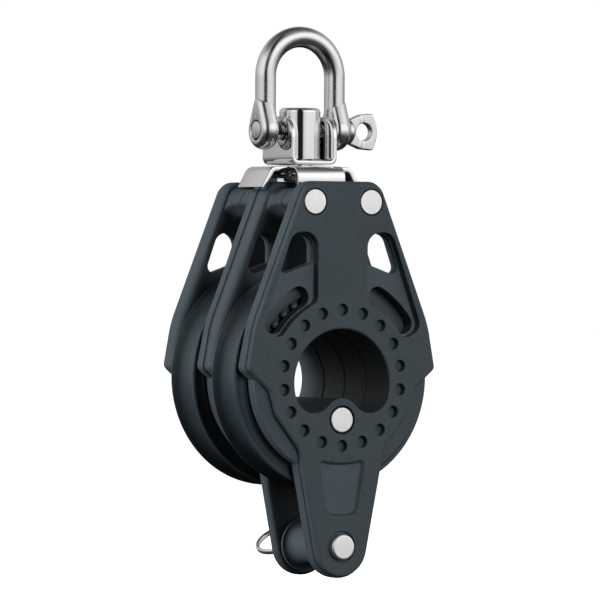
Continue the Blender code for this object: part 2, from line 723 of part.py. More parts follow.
def build():
    hanging = turning_centre("shackle point", (0, 0, SHACKLE_PIN_Z))
    swivel = turning_centre("swivel point", (0, 0, SADDLE_TOP), hanging)
    axle = turning_centre("sheave axis", (0, 0, 0), swivel)
    becket = turning_centre("becket point", (0, 0, BECKET_Z), axle)
    ring_place = turning_centre("ring point", (0, RING_HOLE_Y, BECKET_Z), becket)

    front = cheek("front_cheek", -1, OUTER_FACE, OUTER_PLATE_BACK, OUTER_SKIRT_STEP, FRONT_TAIL)
    outer_details(front, -1)
    tail_details(front)
    rear = cheek("rear_cheek", 1, OUTER_FACE, OUTER_PLATE_BACK, OUTER_SKIRT_STEP)
    outer_details(rear, 1)
    middle_front = cheek(
        "middle_cheek_front", -1, SEAM_FACE, MIDDLE_PLATE_BACK, MIDDLE_SKIRT_STEP, REAR_TAIL
    )
    middle_rear = cheek("middle_cheek_rear", 1, SEAM_FACE, MIDDLE_PLATE_BACK, MIDDLE_SKIRT_STEP)
    pins = [
        through_pin("head_pin_left", -HEAD_PIN_X, HEAD_PIN_Z),
        through_pin("head_pin_right", HEAD_PIN_X, HEAD_PIN_Z),
        through_pin("hub_pin", 0, HUB_PIN_Z),
    ]
    carry(axle, front, rear, middle_front, middle_rear, *pins, saddle())

    for place, plane in (("front", -SHEAVE_PLANE), ("rear", SHEAVE_PLANE)):
        spin = turning_centre(place + " sheave middle", (0, plane, 0), axle)
        carry(
            spin,
            sheave(place + "_sheave", plane),
            load_balls(place + "_load_balls", plane),
            thrust_balls(place + "_thrust_balls_front", plane - THRUST_PLANE),
            thrust_balls(place + "_thrust_balls_rear", plane + THRUST_PLANE),
        )

    carry(becket, becket_pin(), becket_spool())
    carry(ring_place, split_ring())
    carry(
        swivel, head_post(), lock_plate(), stem_ring("swivel_washer", WASHER_RADIUS, WASHER_Z, 24),
        stem_ring("swivel_nut", NUT_RADIUS, NUT_Z, 6),
    )
    carry(hanging, shackle_bow(), shackle_pin())


for leftover in list(bpy.data.objects):
    bpy.data.objects.remove(leftover)
build()
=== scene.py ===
import math
import bmesh
import bpy
import numpy as np
from mathutils import Matrix, Vector
from mathutils.geometry import delaunay_2d_cdt


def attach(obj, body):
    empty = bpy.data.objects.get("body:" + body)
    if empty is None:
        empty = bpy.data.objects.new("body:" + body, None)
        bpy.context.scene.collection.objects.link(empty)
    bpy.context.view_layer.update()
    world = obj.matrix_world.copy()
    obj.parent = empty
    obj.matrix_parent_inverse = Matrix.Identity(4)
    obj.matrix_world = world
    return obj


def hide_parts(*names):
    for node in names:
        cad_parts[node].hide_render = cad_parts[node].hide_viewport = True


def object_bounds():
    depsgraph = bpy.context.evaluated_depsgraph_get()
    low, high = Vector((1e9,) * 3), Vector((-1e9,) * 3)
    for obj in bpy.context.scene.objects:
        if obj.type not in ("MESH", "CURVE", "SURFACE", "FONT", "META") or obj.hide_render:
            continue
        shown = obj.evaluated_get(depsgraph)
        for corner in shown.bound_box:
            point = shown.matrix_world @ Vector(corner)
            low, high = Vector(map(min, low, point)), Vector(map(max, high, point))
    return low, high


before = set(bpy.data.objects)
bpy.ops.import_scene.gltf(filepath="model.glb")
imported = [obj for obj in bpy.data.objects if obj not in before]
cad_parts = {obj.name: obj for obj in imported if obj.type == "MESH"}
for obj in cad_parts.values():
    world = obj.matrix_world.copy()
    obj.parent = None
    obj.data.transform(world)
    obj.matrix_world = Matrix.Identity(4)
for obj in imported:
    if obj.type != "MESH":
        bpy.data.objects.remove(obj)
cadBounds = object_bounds()
print("frame loaded:", len(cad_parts), "nodes")

mm = 0.001  # every size below is in millimetres
sheavePlane = 14.0  # the middle of each sheave, front and rear of the seam


# Outlines are arrays of (x, z) points.

# A name in words with underscores, written as one camelCase name.
def camel(words):
    first, *others = words.split("_")
    return first + "".join(word.title() for word in others)


# Corner (x, z, radius) becomes its tangent arc; a radius of 0 keeps the corner sharp.
def roundedOutline(corners, steps=8):
    spots = np.array([corner[:2] for corner in corners], float)
    rows = []
    for index, (x, z, radius) in enumerate(corners):
        here = spots[index]
        toBefore = spots[index - 1] - here
        toAfter = spots[(index + 1) % len(spots)] - here
        toBefore = toBefore / np.linalg.norm(toBefore)
        toAfter = toAfter / np.linalg.norm(toAfter)
        half = math.acos(np.clip(toBefore @ toAfter, -1, 1)) / 2
        if radius == 0 or half > 1.566:
            rows.append(here[None])
            continue
        middle = toBefore + toAfter
        centre = here + middle / np.linalg.norm(middle) * radius / math.sin(half)
        reach = radius / math.tan(half)
        start = math.atan2(*(here + toBefore * reach - centre)[::-1])
        end = math.atan2(*(here + toAfter * reach - centre)[::-1])
        sweep = (end - start + math.pi) % math.tau - math.pi
        angles = start + sweep * np.linspace(0, 1, steps + 1)
        rows.append(centre + radius * np.stack([np.cos(angles), np.sin(angles)], 1))
    return np.concatenate(rows)


# The right half from the top down, mirrored to the left and joined.
def wholeOutline(half, steps=8):
    return roundedOutline(half + [(-x, z, radius) for x, z, radius in half[-2:0:-1]], steps)


def arcPoints(x, z, radius, start, end, count):
    angles = np.radians(np.linspace(start, end, count))
    return np.stack([x + radius * np.cos(angles), z + radius * np.sin(angles)], 1)


def circlePoints(x, z, radius, count):
    return arcPoints(x, z, radius, 0, 360, count + 1)[:-1]


# Anticlockwise order, with long edges divided to at most the given length. The new points stand 2 microns
# to either side in turn, because three points exactly in line leave slivers when a cap is triangulated.
def evenOutline(outline, longest=None):
    following = np.roll(outline, -1, 0)
    area = (outline[:, 0] * following[:, 1] - following[:, 0] * outline[:, 1]).sum()
    if area < 0:
        outline = outline[::-1]
        following = np.roll(outline, -1, 0)
    if longest is None:
        return outline
    pieces = np.maximum(1, np.ceil(np.linalg.norm(following - outline, axis=1) / longest)).astype(int)
    start = np.repeat(np.arange(len(outline)), pieces)
    number = np.concatenate([np.arange(count) for count in pieces])
    part = (number / pieces[start])[:, None]
    along = (following - outline)[start]
    aside = along[:, ::-1] * (1, -1) / np.linalg.norm(along, axis=1)[:, None]
    sway = np.where(number == 0, 0, np.where(number % 2, 0.002, -0.002))[:, None]
    return outline[start] + along * part + aside * sway


# Unit normals pointing out of an anticlockwise outline, lengthened at corners so that offsets stay parallel.
def outlineNormals(outline):
    along = np.roll(outline, -1, 0) - outline
    along = along / np.linalg.norm(along, axis=1)[:, None]
    out = np.stack([along[:, 1], -along[:, 0]], 1)
    before = np.roll(out, 1, 0)
    return (out + before) / np.maximum(1 + (out * before).sum(1), 0.4)[:, None]


def inset(outline, amount):
    return outline - outlineNormals(outline) * amount


# Surfaces are (points, faces) pairs.

# Quads between the rows of a grid whose columns close on themselves.
def gridQuads(rows, columns, closeRows=False):
    upper = np.arange(rows if closeRows else rows - 1)[:, None] * columns
    lower = (upper + columns) % (rows * columns)
    here = np.arange(columns)[None]
    ahead = (here + 1) % columns
    return np.stack([upper + here, upper + ahead, lower + ahead, lower + here], -1).reshape(-1, 4)


# A wall: each profile row (inset, depth) is the outline offset by the inset, at that depth. Where a rounded
# edge has to narrow, a share per point shrinks the inset, and depthShare the depth.
def wall(outline, profile, hole=False, share=1.0, depthShare=1.0):
    profile = np.array(profile, float)
    out = outlineNormals(outline) * (1 if hole else -1)
    flat = outline[None] + out[None] * (profile[:, 0, None] * share * np.ones(len(outline)))[..., None]
    depth = profile[:, 1, None] * depthShare * np.ones(len(outline))
    points = np.stack([flat[..., 0], depth, flat[..., 1]], -1).reshape(-1, 3)
    return points, gridQuads(len(profile), len(outline))


# A flat cap at one depth: triangles inside the first loop and outside the others.
def cap(loops, depth):
    spots = np.concatenate(loops)
    edges, start = [], 0
    for loop in loops:
        ring = np.arange(start, start + len(loop))
        edges.append(np.stack([ring, np.roll(ring, -1)], 1))
        start += len(loop)
    made = delaunay_2d_cdt([Vector(spot) for spot in spots], np.concatenate(edges).tolist(), [], 0, 1e-7)
    flat = np.array([tuple(spot) for spot in made[0]])
    faces = np.array(made[2])
    middles = flat[faces].mean(1)
    first, second = flat[faces[:, 1]] - flat[faces[:, 0]], flat[faces[:, 2]] - flat[faces[:, 0]]
    inside = np.zeros(len(faces), bool)
    for loop in loops:
        inside ^= insideLoop(middles, loop)
    inside &= np.abs(first[:, 0] * second[:, 1] - first[:, 1] * second[:, 0]) > 4e-4
    points = np.stack([flat[:, 0], np.full(len(flat), depth), flat[:, 1]], 1)
    return points, faces[inside]


# Even-odd rule: a spot is inside when a line to its right crosses the loop an odd number of times.
def insideLoop(spots, loop):
    following = np.roll(loop, -1, 0)
    above = (loop[None, :, 1] > spots[:, None, 1]) != (following[None, :, 1] > spots[:, None, 1])
    rise = np.where(following[:, 1] == loop[:, 1], 1e-12, following[:, 1] - loop[:, 1])
    cross = loop[:, 0] + (spots[:, None, 1] - loop[:, 1]) * (following[:, 0] - loop[:, 0]) / rise
    return (above & (spots[:, None, 0] < cross)).sum(1) % 2 == 1


# A profile of (radius, along) rows turned about an axis; an open profile ends on the axis.
def turnedSurface(profile, centre=(0, 0, 0), axis="Y", steps=96, closed=True):
    profile = np.array(profile, float)
    angles = math.tau * np.arange(steps) / steps
    across = profile[:, 0, None] * np.cos(angles)
    up = profile[:, 0, None] * np.sin(angles)
    along = np.broadcast_to(profile[:, 1, None], across.shape)
    order = {"Y": (across, along, up), "X": (along, across, up), "Z": (across, up, along)}[axis]
    points = np.stack(order, -1).reshape(-1, 3) + np.array(centre)
    return points, gridQuads(len(profile), steps, closed)


# A round bar along a closed or open path in space; the sides follow parallel to a fixed normal.
def barSurface(path, radius, normal, sides=16, closed=False):
    path = np.array(path, float)
    ahead = np.roll(path, -1, 0) - np.roll(path, 1, 0)
    if not closed:
        ahead[0] = path[1] - path[0]
        ahead[-1] = path[-1] - path[-2]
    ahead /= np.linalg.norm(ahead, axis=1)[:, None]
    normal = np.broadcast_to(np.array(normal, float), path.shape)
    outward = np.cross(ahead, normal)
    outward /= np.linalg.norm(outward, axis=1)[:, None]
    angles = math.tau * np.arange(sides) / sides
    radius = np.broadcast_to(np.array(radius, float), len(path))[:, None, None]
    ring = np.cos(angles)[None, :, None] * outward[:, None] + np.sin(angles)[None, :, None] * normal[:, None]
    points = (path[:, None] + radius * ring).reshape(-1, 3)
    return points, gridQuads(len(path), sides, closed)


# Rows that follow a quarter circle from (0, 0) outwards: how far in, and how far along.
def quarter(radius, steps=5):
    angles = np.linspace(0, math.pi / 2, steps + 1)
    return [(radius * (1 - math.sin(angle)), radius * (1 - math.cos(angle))) for angle in angles]


# A plate with rounded edges between two depths, with holes.
def plateSurfaces(outline, holes, low, high, edge, holeEdge=None, steps=4):
    holeEdge = edge if holeEdge is None else holeEdge
    surfaces = []
    for loop, radius, hole in [(outline, edge, False)] + [(each, holeEdge, True) for each in holes]:
        lower = [(away, low + along) for away, along in quarter(radius, steps)]
        upper = [(away, high - along) for away, along in quarter(radius, steps)[::-1]]
        surfaces.append(wall(loop, lower + upper, hole))
    for depth in (low, high):
        surfaces.append(cap([inset(outline, edge)] + [inset(each, -holeEdge) for each in holes], depth))
    return surfaces


# Swaps the axes of surfaces made in the X-Z plane so that they stand across X or lie across Z.
def across(surfaces, axis):
    order = {"X": [1, 0, 2], "Z": [0, 2, 1]}[axis]
    return [(points[:, order], faces) for points, faces in surfaces]


# Where a cap skipped a point that lies in line with its neighbours, a thin triangle joins it in.
def closeSlivers(bm):
    for vert in bm.verts:
        rim = [edge for edge in vert.link_edges if edge.is_boundary]
        if len(rim) == 2:
            ends = [edge.other_vert(vert) for edge in rim]
            chord = bm.edges.get(ends)
            corners = (ends[0], vert, ends[1])
            if chord is not None and chord.is_boundary and bm.faces.get(corners) is None:
                bm.faces.new(corners)


# Surfaces joined where they meet; each may name its material's number as a third entry.
def makePiece(name, surfaces, materials, sharpAngle=40):
    bm = bmesh.new()
    for surface in surfaces:
        points, faces = surface[:2]
        slotNumber = surface[2] if len(surface) > 2 else 0
        verts = [bm.verts.new(spot) for spot in (points * mm).tolist()]
        for face in faces.tolist():
            if len(set(face)) > 2:
                made = bm.faces.new([verts[number] for number in face])
                made.material_index = slotNumber
    bmesh.ops.remove_doubles(bm, verts=bm.verts[:], dist=1e-6)
    closeSlivers(bm)
    bmesh.ops.recalc_face_normals(bm, faces=bm.faces[:])
    openEdges = sum(edge.is_boundary for edge in bm.edges)
    if openEdges:
        print("   ", name, "has", openEdges, "open edges")
    mesh = bpy.data.meshes.new(name)
    bm.to_mesh(mesh)
    bm.free()
    piece = bpy.data.objects.new(name, mesh)
    bpy.context.scene.collection.objects.link(piece)
    for material in materials:
        mesh.materials.append(material)
    mesh.shade_smooth()
    mesh.set_sharp_from_angle(angle=math.radians(sharpAngle))
    return piece


def evenShading(piece):
    step = piece.modifiers.new("even shading", "WEIGHTED_NORMAL")
    step.keep_sharp = True
    step.weight = 50
    return piece


# Says which body a piece moves with and which CAD nodes it stands for; the finish given as slot is not used.
def settle(piece, body, slot, *nodes):
    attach(piece, body)
    if nodes:
        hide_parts(*nodes)
    print("made", piece.name, len(piece.data.polygons), "faces")
    return piece


# sRGB hex to linear, by the standard curve.
def linearColour(hexColour):
    channels = [int(hexColour[index:index + 2], 16) / 255 for index in (1, 3, 5)]
    return (*[c / 12.92 if c <= 0.04045 else ((c + 0.055) / 1.055) ** 2.4 for c in channels], 1)


# Adds a node, sets its properties and values, and links sockets given as (node, output).
def addNode(tree, kind, settings=None, **inputs):
    node = tree.nodes.new(kind)
    for key, value in (settings or {}).items():
        setattr(node, key, value)
    for key, value in inputs.items():
        socket = node.inputs[int(key[1:])] if key[1:].isdigit() else node.inputs[key.replace("_", " ")]
        if isinstance(value, tuple) and isinstance(value[0], bpy.types.Node):
            tree.links.new(value[0].outputs[value[1]], socket)
        else:
            socket.default_value = value
    return node


def newMaterial(name, metallic=0.0, ior=None, **inputs):
    material = bpy.data.materials.new(name)
    material.use_nodes = True
    tree = material.node_tree
    shader = tree.nodes["Principled BSDF"]
    shader.inputs["Metallic"].default_value = metallic
    if ior is not None:
        shader.inputs["IOR"].default_value = ior
    coords = tree.nodes.new("ShaderNodeTexCoord")
    return material, tree, shader, coords


# A moulded plastic: the broad noise shifts its tone a little, the fine one roughens and pits its skin.
def mouldedPlastic(name, look):
    material, tree, shader, coords = newMaterial(name, ior=look["ior"])
    place = (coords, "Object")
    grain = addNode(tree, "ShaderNodeTexNoise", Vector=place, Scale=1000 / look["grainMm"], Detail=2.0)
    broad = addNode(tree, "ShaderNodeTexNoise", Vector=place, Scale=1000 / look["patchMm"], Detail=3.0)
    tone = addNode(tree, "ShaderNodeMix", {"data_type": "RGBA"}, i0=(broad, "Fac"),
                   i6=linearColour(look["dark"]), i7=linearColour(look["light"]))
    speck = addNode(tree, "ShaderNodeMapRange", i0=(grain, "Fac"), i1=0.3, i2=0.7,
                    i3=look["rough"] - look["roughSpread"], i4=look["rough"] + look["roughSpread"])
    bump = addNode(tree, "ShaderNodeBump", Strength=look["bump"], Distance=look["bumpMm"] * mm,
                   Height=(grain, "Fac"))
    tree.links.new(tone.outputs[2], shader.inputs["Base Color"])
    tree.links.new(speck.outputs[0], shader.inputs["Roughness"])
    tree.links.new(bump.outputs[0], shader.inputs["Normal"])
    return material


# Stainless steel: the broad noise varies its gloss, the fine one is the tumbled or brushed texture.
def stainless(name, look):
    material, tree, shader, coords = newMaterial(name, metallic=1.0)
    shader.inputs["Base Color"].default_value = linearColour(look["colour"])
    place = (coords, "Object")
    broad = addNode(tree, "ShaderNodeTexNoise", Vector=place, Scale=1000 / look["patchMm"], Detail=3.0)
    gloss = addNode(tree, "ShaderNodeMapRange", i0=(broad, "Fac"), i1=0.3, i2=0.7,
                    i3=look["rough"][0], i4=look["rough"][1])
    fine = addNode(tree, "ShaderNodeTexNoise", Vector=place, Scale=1000 / look["grainMm"], Detail=2.0)
    bump = addNode(tree, "ShaderNodeBump", Strength=look["bump"], Distance=look["bumpMm"] * mm,
                   Height=(fine, "Fac"))
    tree.links.new(gloss.outputs[0], shader.inputs["Roughness"])
    tree.links.new(bump.outputs[0], shader.inputs["Normal"])
    return material


# spark-textured nylon: matt dark slate with a fine even grain
nylonLook = {"dark": "#1D2327", "light": "#262D31", "rough": 0.6, "roughSpread": 0.1, "ior": 1.53,
             "grainMm": 0.55, "patchMm": 14, "bump": 0.6, "bumpMm": 0.09}
# the same nylon from a smooth mould: a shade lighter and nearly grainless
smoothLook = {"dark": "#262D31", "light": "#2C3438", "rough": 0.62, "roughSpread": 0.05, "ior": 1.53,
              "grainMm": 0.3, "patchMm": 9, "bump": 0.12, "bumpMm": 0.03}
# satin acetal: darker than the nylon, with a soft sheen along the grooves
acetalLook = {"dark": "#181E22", "light": "#20272B", "rough": 0.38, "roughSpread": 0.05, "ior": 1.48,
              "grainMm": 0.6, "patchMm": 20, "bump": 0.08, "bumpMm": 0.03}
# tumbled acetal balls: small soft glints
ballLook = {"dark": "#20272B", "light": "#2A3236", "rough": 0.2, "roughSpread": 0.04, "ior": 1.48,
            "grainMm": 0.6, "patchMm": 20, "bump": 0.04, "bumpMm": 0.02}
# mirror-polished sheet and turned steel: hard dark and bright bands
mirrorLook = {"colour": "#E4E5E4", "rough": (0.05, 0.10), "patchMm": 8, "grainMm": 0.8,
              "bump": 0.03, "bumpMm": 0.02}
# tumbled forged steel: the same bands, blurred, with a fine pitted texture
tumbledLook = {"colour": "#DCDDDC", "rough": (0.16, 0.27), "patchMm": 5, "grainMm": 1.1,
               "bump": 0.25, "bumpMm": 0.06}
# satin pin heads and wire: near white, with no clear reflections
satinLook = {"colour": "#F2F3F2", "rough": (0.32, 0.42), "patchMm": 4, "grainMm": 0.4,
             "bump": 0.08, "bumpMm": 0.02}

nylon = mouldedPlastic("glass-filled nylon, grained mould", nylonLook)
smoothNylon = mouldedPlastic("glass-filled nylon, smooth mould", smoothLook)
acetal = mouldedPlastic("acetal, satin moulded", acetalLook)
ballAcetal = mouldedPlastic("acetal, tumbled bearing balls", ballLook)
mirrorSteel = stainless("stainless steel, mirror polished", mirrorLook)
tumbledSteel = stainless("stainless steel, tumbled", tumbledLook)
satinSteel = stainless("stainless steel, satin", satinLook)
print("materials ready")


bodyHalf = [
    (0, 65.9, 0), (14.8, 65.9, 6), (34.2, 18.0, 40), (37.0, 2.8, 2.6), (28.6, -4.4, 5),
    (26.2, -12.6, 8), (17.0, -24.4, 4),
]
tailHalf = [(15.3, -33.5, 12)]
cheekShape = {
    "skirtRadius": 33.0, "skirtStep": 2.0, "rim": 0.55, "outerEdge": 0.85, "innerEdge": 2.4,
    "hubRadius": 18.4, "hubZ": -2.0, "pinZ": -14.1, "bump": 7.2, "lobe": 7.2, "race": 24.6,
    "holeRing": 22.84, "holeRadius": 2.0, "holeDepth": 2.5, "holes": 18, "pocketDepth": 3.0,
    "tailEndZ": -56.6, "tailEnd": 10.6, "headPin": (10.9, 58.95),
}
pocket = [
    (9.7, 48.8, 5), (19.2, 48.8, 4.5), (31.0, 16.4, 3.8), (24.8, 13.2, 3),
    (22.4, 15.1, 0), (20.6, 17.5, 0), (18.4, 19.8, 0), (16.5, 21.4, 0), (14.2, 23.0, 0), (9.7, 25.6, 3),
]
pocketHole = [(10.05, 48.45, 4.7), (18.95, 48.45, 4.2), (24.35, 33.6, 2.2), (10.05, 38.6, 0.6)]
panelHalf = [(0, -28.6, 0), (4.5, -28.3, 9), (9.1, -27.2, 1.6), (5.9, -46.2, 3.5), (0, -46.2, 0)]
headMid = [(0, 63.6, 0), (13.0, 63.6, 5), (15.6, 58.6, 1.5), (9.8, 53.6, 8), (0, 53.6, 0)]
headFoot = [(0, 64.4, 0), (14.05, 64.4, 5), (17.25, 55.6, 1.5), (12.5, 49.9, 8), (0, 49.9, 0)]


def polar(radius, angle):
    return radius * math.cos(math.radians(angle)), radius * math.sin(math.radians(angle))


# A slot along an arc round the sheave axis, with round ends.
def arcSlot(pitch, half, start, end):
    return np.concatenate([
        arcPoints(0, 0, pitch + half, start, end, 14),
        arcPoints(*polar(pitch, end), half, end, end + 180, 14)[1:-1],
        arcPoints(0, 0, pitch - half, end, start, 14),
        arcPoints(*polar(pitch, start), half, start + 180, start + 360, 14)[1:-1],
    ])


# A round opening with a bump for the lower pin, and on each side a lobe tangent to both.
def hubOutline(shape):
    drop = shape["hubZ"] - shape["pinZ"]
    far = shape["hubRadius"] - shape["lobe"]
    near = shape["bump"] + shape["lobe"]
    below = (drop ** 2 + far ** 2 - near ** 2) / (2 * drop)
    lobe = (math.sqrt(far ** 2 - below ** 2), shape["hubZ"] - below)
    outer = math.degrees(math.atan2(-below, lobe[0]))
    inner = math.degrees(math.atan2(shape["pinZ"] - lobe[1], -lobe[0]))
    right = arcPoints(*lobe, shape["lobe"], outer, inner, 18)
    bump = arcPoints(0, shape["pinZ"], shape["bump"], inner + 180, -inner, 18)
    crown = arcPoints(0, shape["hubZ"], shape["hubRadius"], 180 - outer, outer, 90)
    return np.concatenate([right, bump[1:-1], right[::-1] * (-1, 1), crown[1:-1]])


def bodyOutline(shape, tail):
    if not tail:
        return wholeOutline(bodyHalf + [(15.6, -30.0, 3), (0, -30.0, 0)], 10)
    side = tailHalf[-1]
    reach = math.hypot(side[0], side[1] - shape["tailEndZ"])
    slope = math.atan2(side[1] - shape["tailEndZ"], side[0])
    lean = math.degrees(slope - math.acos(shape["tailEnd"] / reach))
    end = arcPoints(0, shape["tailEndZ"], shape["tailEnd"], lean, -90, 16)
    return wholeOutline(bodyHalf + tailHalf + [(x, z, 0) for x, z in end], 10)


# The base outline: the body's, pushed out to the skirt's circle wherever it is nearer the axis below.
def baseOutline(body, shape):
    radius = np.linalg.norm(body, axis=1)
    low = body[:, 1] < -0.3
    grown = np.where(low, np.maximum(radius, shape["skirtRadius"]), radius)
    return evenOutline(body * (grown / radius)[:, None], 0.9)


# Depth 0 is the cheek's outer or seam face; the tail is thinner than the plate above it.
def placeDepth(points, side, face, inward, thickness, tail):
    placed = points.copy()
    depth = points[:, 1]
    if tail:
        near, far = tail
        blend = np.clip((-30.0 - points[:, 2]) / 8.0, 0, 1)
        thin = near + depth * (far - near) / thickness
        within = depth <= thickness + 0.01
        depth = np.where(within, depth + (thin - depth) * blend, depth)
    placed[:, 1] = side * (face + inward * depth)
    return placed


def cheekSurfaces(side, face, inward, thickness, outerFace, tail=None):
    shape = cheekShape
    reach = (sheavePlane - 0.15 - face) if inward > 0 else (face - sheavePlane - 0.15)
    step = shape["skirtStep"] if outerFace else 0.7
    edge = shape["outerEdge"] if outerFace else 0.45
    rim = shape["rim"] if outerFace else 0.45
    body = evenOutline(bodyOutline(shape, tail), 0.9)
    base = baseOutline(evenOutline(bodyOutline(shape, tail), 0.4), shape)
    # the inner edge is rounded broadly beside the sheave, and half as much by the head and the tail
    soften = np.clip(np.minimum(50 - base[:, 1], base[:, 1] - 2) / 12, 0.5, 1)
    hub = evenOutline(hubOutline(shape))
    surfaces = []
    # outer face, its raised edge, the ledge at the skirt and the base's edge
    raised = [(rim + away, along) for away, along in quarter(edge)] + [(rim, step)]
    bead = [(away, step + along) for away, along in quarter(0.2, 3)]
    back = [(away, thickness - along) for away, along in quarter(shape["innerEdge"], 6)[::-1]]
    surfaces.append(wall(body, raised))
    surfaces.append(wall(base, bead + back, share=soften))
    surfaces.append(cap([inset(base, 0.2 * soften[:, None]), inset(body, rim)], step))
    outerLoops = [inset(body, rim + edge)]
    innerLoops = [inset(base, shape["innerEdge"] * soften[:, None])]
    # hub bore, race and the face where the half hubs meet
    lip = 0.7 if outerFace else 0.4
    share = np.clip((hub[:, 1] + 9) / 8, 0.22, 1) if outerFace else np.ones(len(hub))  # narrow by the holes
    race = evenOutline(circlePoints(0, 0, shape["race"], 96))
    surfaces.append(wall(hub, quarter(lip, 6), hole=True, share=share, depthShare=share))
    points, faces = wall(hub, [(0, 0), (0, reach - 0.35), (0.35, reach)], hole=True)
    points[:len(hub), 1] = lip * share
    surfaces.append((points, faces))
    surfaces.append(wall(race, [(-0.8, thickness), (-0.25, thickness + 0.2), (0, thickness + 0.8),
                                (0, reach - 0.3), (0.3, reach)]))
    surfaces.append(cap([inset(race, 0.3), inset(hub, -0.35)], reach))
    outerLoops.append(inset(hub, -lip * share[:, None]))
    innerLoops.append(inset(race, -0.8))
    # pockets: lip, wall, smooth web, and the two holes through it
    for flip in (1, -1):
        opening = evenOutline(roundedOutline(pocket, 8) * (flip, 1))
        holes = [evenOutline(roundedOutline(pocketHole, 8) * (flip, 1)),
                 evenOutline(arcSlot(31.05, 3.6, 36.0, 60.5) * (flip, 1))]
        if outerFace:
            surfaces.append(wall(opening, [(0.4, 0), (0.12, 0.12), (0, 0.4), (0, 2.8), (-0.03, 2.95),
                                           (-0.1, 3.0)], hole=True))
            surfaces.append((*cap([inset(opening, 0.1)] + [inset(each, -0.12) for each in holes],
                                  shape["pocketDepth"]), 1))
            outerLoops.append(inset(opening, -0.4))
        for each in holes:
            top = shape["pocketDepth"] if outerFace else 0
            surfaces.append(wall(each, [(0.12, top), (0.03, top + 0.03), (0, top + 0.12),
                                        (0, thickness - 0.4), (0.12, thickness - 0.12),
                                        (0.4, thickness)], hole=True))
            innerLoops.append(inset(each, -0.4))
            if not outerFace:
                outerLoops.append(inset(each, -0.12))
    # blind holes and pin recesses
    if outerFace:
        rounds = [(*polar(shape["holeRing"], 90 + 360 * number / shape["holes"]), shape["holeRadius"],
                   shape["holeDepth"], 0.22) for number in range(shape["holes"])]
        rounds += [(sign * shape["headPin"][0], shape["headPin"][1], 4.58, 2.6, 0.08) for sign in (-1, 1)]
        rounds.append((0, shape["pinZ"], 4.9, 2.6, 0.15))
        if tail:
            rounds.append((0, -56.7, 5.3, 1.0, 0.3))
        for x, z, radius, depth, soft in rounds:
            ring = evenOutline(circlePoints(x, z, radius, 40))
            surfaces.append(wall(ring, [(away, along) for away, along in quarter(soft, 3)]
                                 + [(0, depth)], hole=True))
            surfaces.append(cap([ring], depth))
            outerLoops.append(inset(ring, -soft))
        if tail:
            panel = evenOutline(wholeOutline(panelHalf, 8), 1.0)
            surfaces.append(wall(panel, [(0.25, 0), (0.05, 0.12), (-0.55, 1.15), (-0.75, 1.3)], hole=True))
            surfaces.append((*cap([inset(panel, 0.75)], 1.3), 1))
            outerLoops.append(inset(panel, -0.25))
    # half head: flares from its middle outline into the plate's back along a quarter circle
    middle = evenOutline(wholeOutline(headMid, 10))
    foot = evenOutline(wholeOutline(headFoot, 10))
    flare = min(4.5, reach - thickness - 1.2)
    rows = [(1 - math.sin(a), thickness + flare * (1 - math.cos(a))) for a in np.linspace(0, math.pi / 2, 9)]
    rows.append((0.0, reach - 0.25))
    share = np.array([row[0] for row in rows])[:, None, None]
    flat = middle[None] * (1 - share) + foot[None] * share
    flat = np.concatenate([flat, inset(middle, 0.25)[None]])
    depth = np.array([row[1] for row in rows] + [reach])
    points = np.stack([flat[..., 0], np.broadcast_to(depth[:, None], flat.shape[:2]), flat[..., 1]], -1)
    surfaces.append((points.reshape(-1, 3), gridQuads(len(depth), len(middle))))
    surfaces.append(cap([inset(middle, 0.25)], reach))
    innerLoops.append(foot)
    surfaces.append(cap(outerLoops, 0))
    surfaces.append(cap(innerLoops, thickness))
    return [(placeDepth(each[0], side, face, inward, thickness, tail), *each[1:]) for each in surfaces]


cheeks = {
    "front_cheek": {"side": -1, "face": 29.5, "inward": -1, "thickness": 7.4, "outerFace": True,
                    "tail": (0, 6.9)},
    "middle_cheek_front": {"side": -1, "face": 0.15, "inward": 1, "thickness": 5.75, "outerFace": False,
                           "tail": (0.35, 4.15)},
    "middle_cheek_rear": {"side": 1, "face": 0.15, "inward": 1, "thickness": 5.75, "outerFace": False},
    "rear_cheek": {"side": 1, "face": 29.5, "inward": -1, "thickness": 7.4, "outerFace": True},
}
for node, settings in cheeks.items():
    cheekPiece = makePiece(camel(node) + "Moulding", cheekSurfaces(**settings), [nylon, smoothNylon])
    settle(evenShading(cheekPiece), "frame", "nylon", node)


sheaveShape = {"radius": 37.5, "face": 7.7, "floor": 32.0, "grooveHalf": 6.85, "lip": 25.0, "race": 29.6}
loadBalls = {"pitch": 27.1, "radius": 2.3, "count": 35}
thrustBalls = {"pitch": 27.5, "radius": 1.35, "count": 36}
thrustPlane = 6.45  # from the sheave's middle


def sheaveProfile(shape):
    rise = shape["radius"] - shape["floor"]
    bow = (shape["grooveHalf"] ** 2 + rise ** 2) / (2 * rise)
    sweep = math.asin(min(1.0, shape["grooveHalf"] / bow))
    angles = np.linspace(-sweep, sweep, 25)
    groove = [(shape["floor"] + bow - bow * math.cos(a), bow * math.sin(a)) for a in angles]
    face, race, lip = shape["face"], shape["race"], shape["lip"]
    # rim bead, shallow flank, then the thrust balls' channel and the load balls' race
    half = [
        (37.44, 7.02), (37.46, 7.25), (37.3, 7.5), (37.0, 7.65), (36.6, face), (36.2, 7.62), (35.95, 7.35),
        (35.6, 7.1), (34.6, 6.95), (33.9, 7.0), (33.5, 7.3), (33.1, 7.6), (32.6, face),
        (race, face), (29.3, 7.5), (29.25, 7.2), (29.25, 5.0),
        (25.75, 5.0), (25.75, 7.5), (25.6, 7.65), (25.1, 7.65), (lip, 7.5), (lip, 2.7), (race, 2.7),
    ]
    return groove + half + [(radius, -along) for radius, along in half[::-1]]


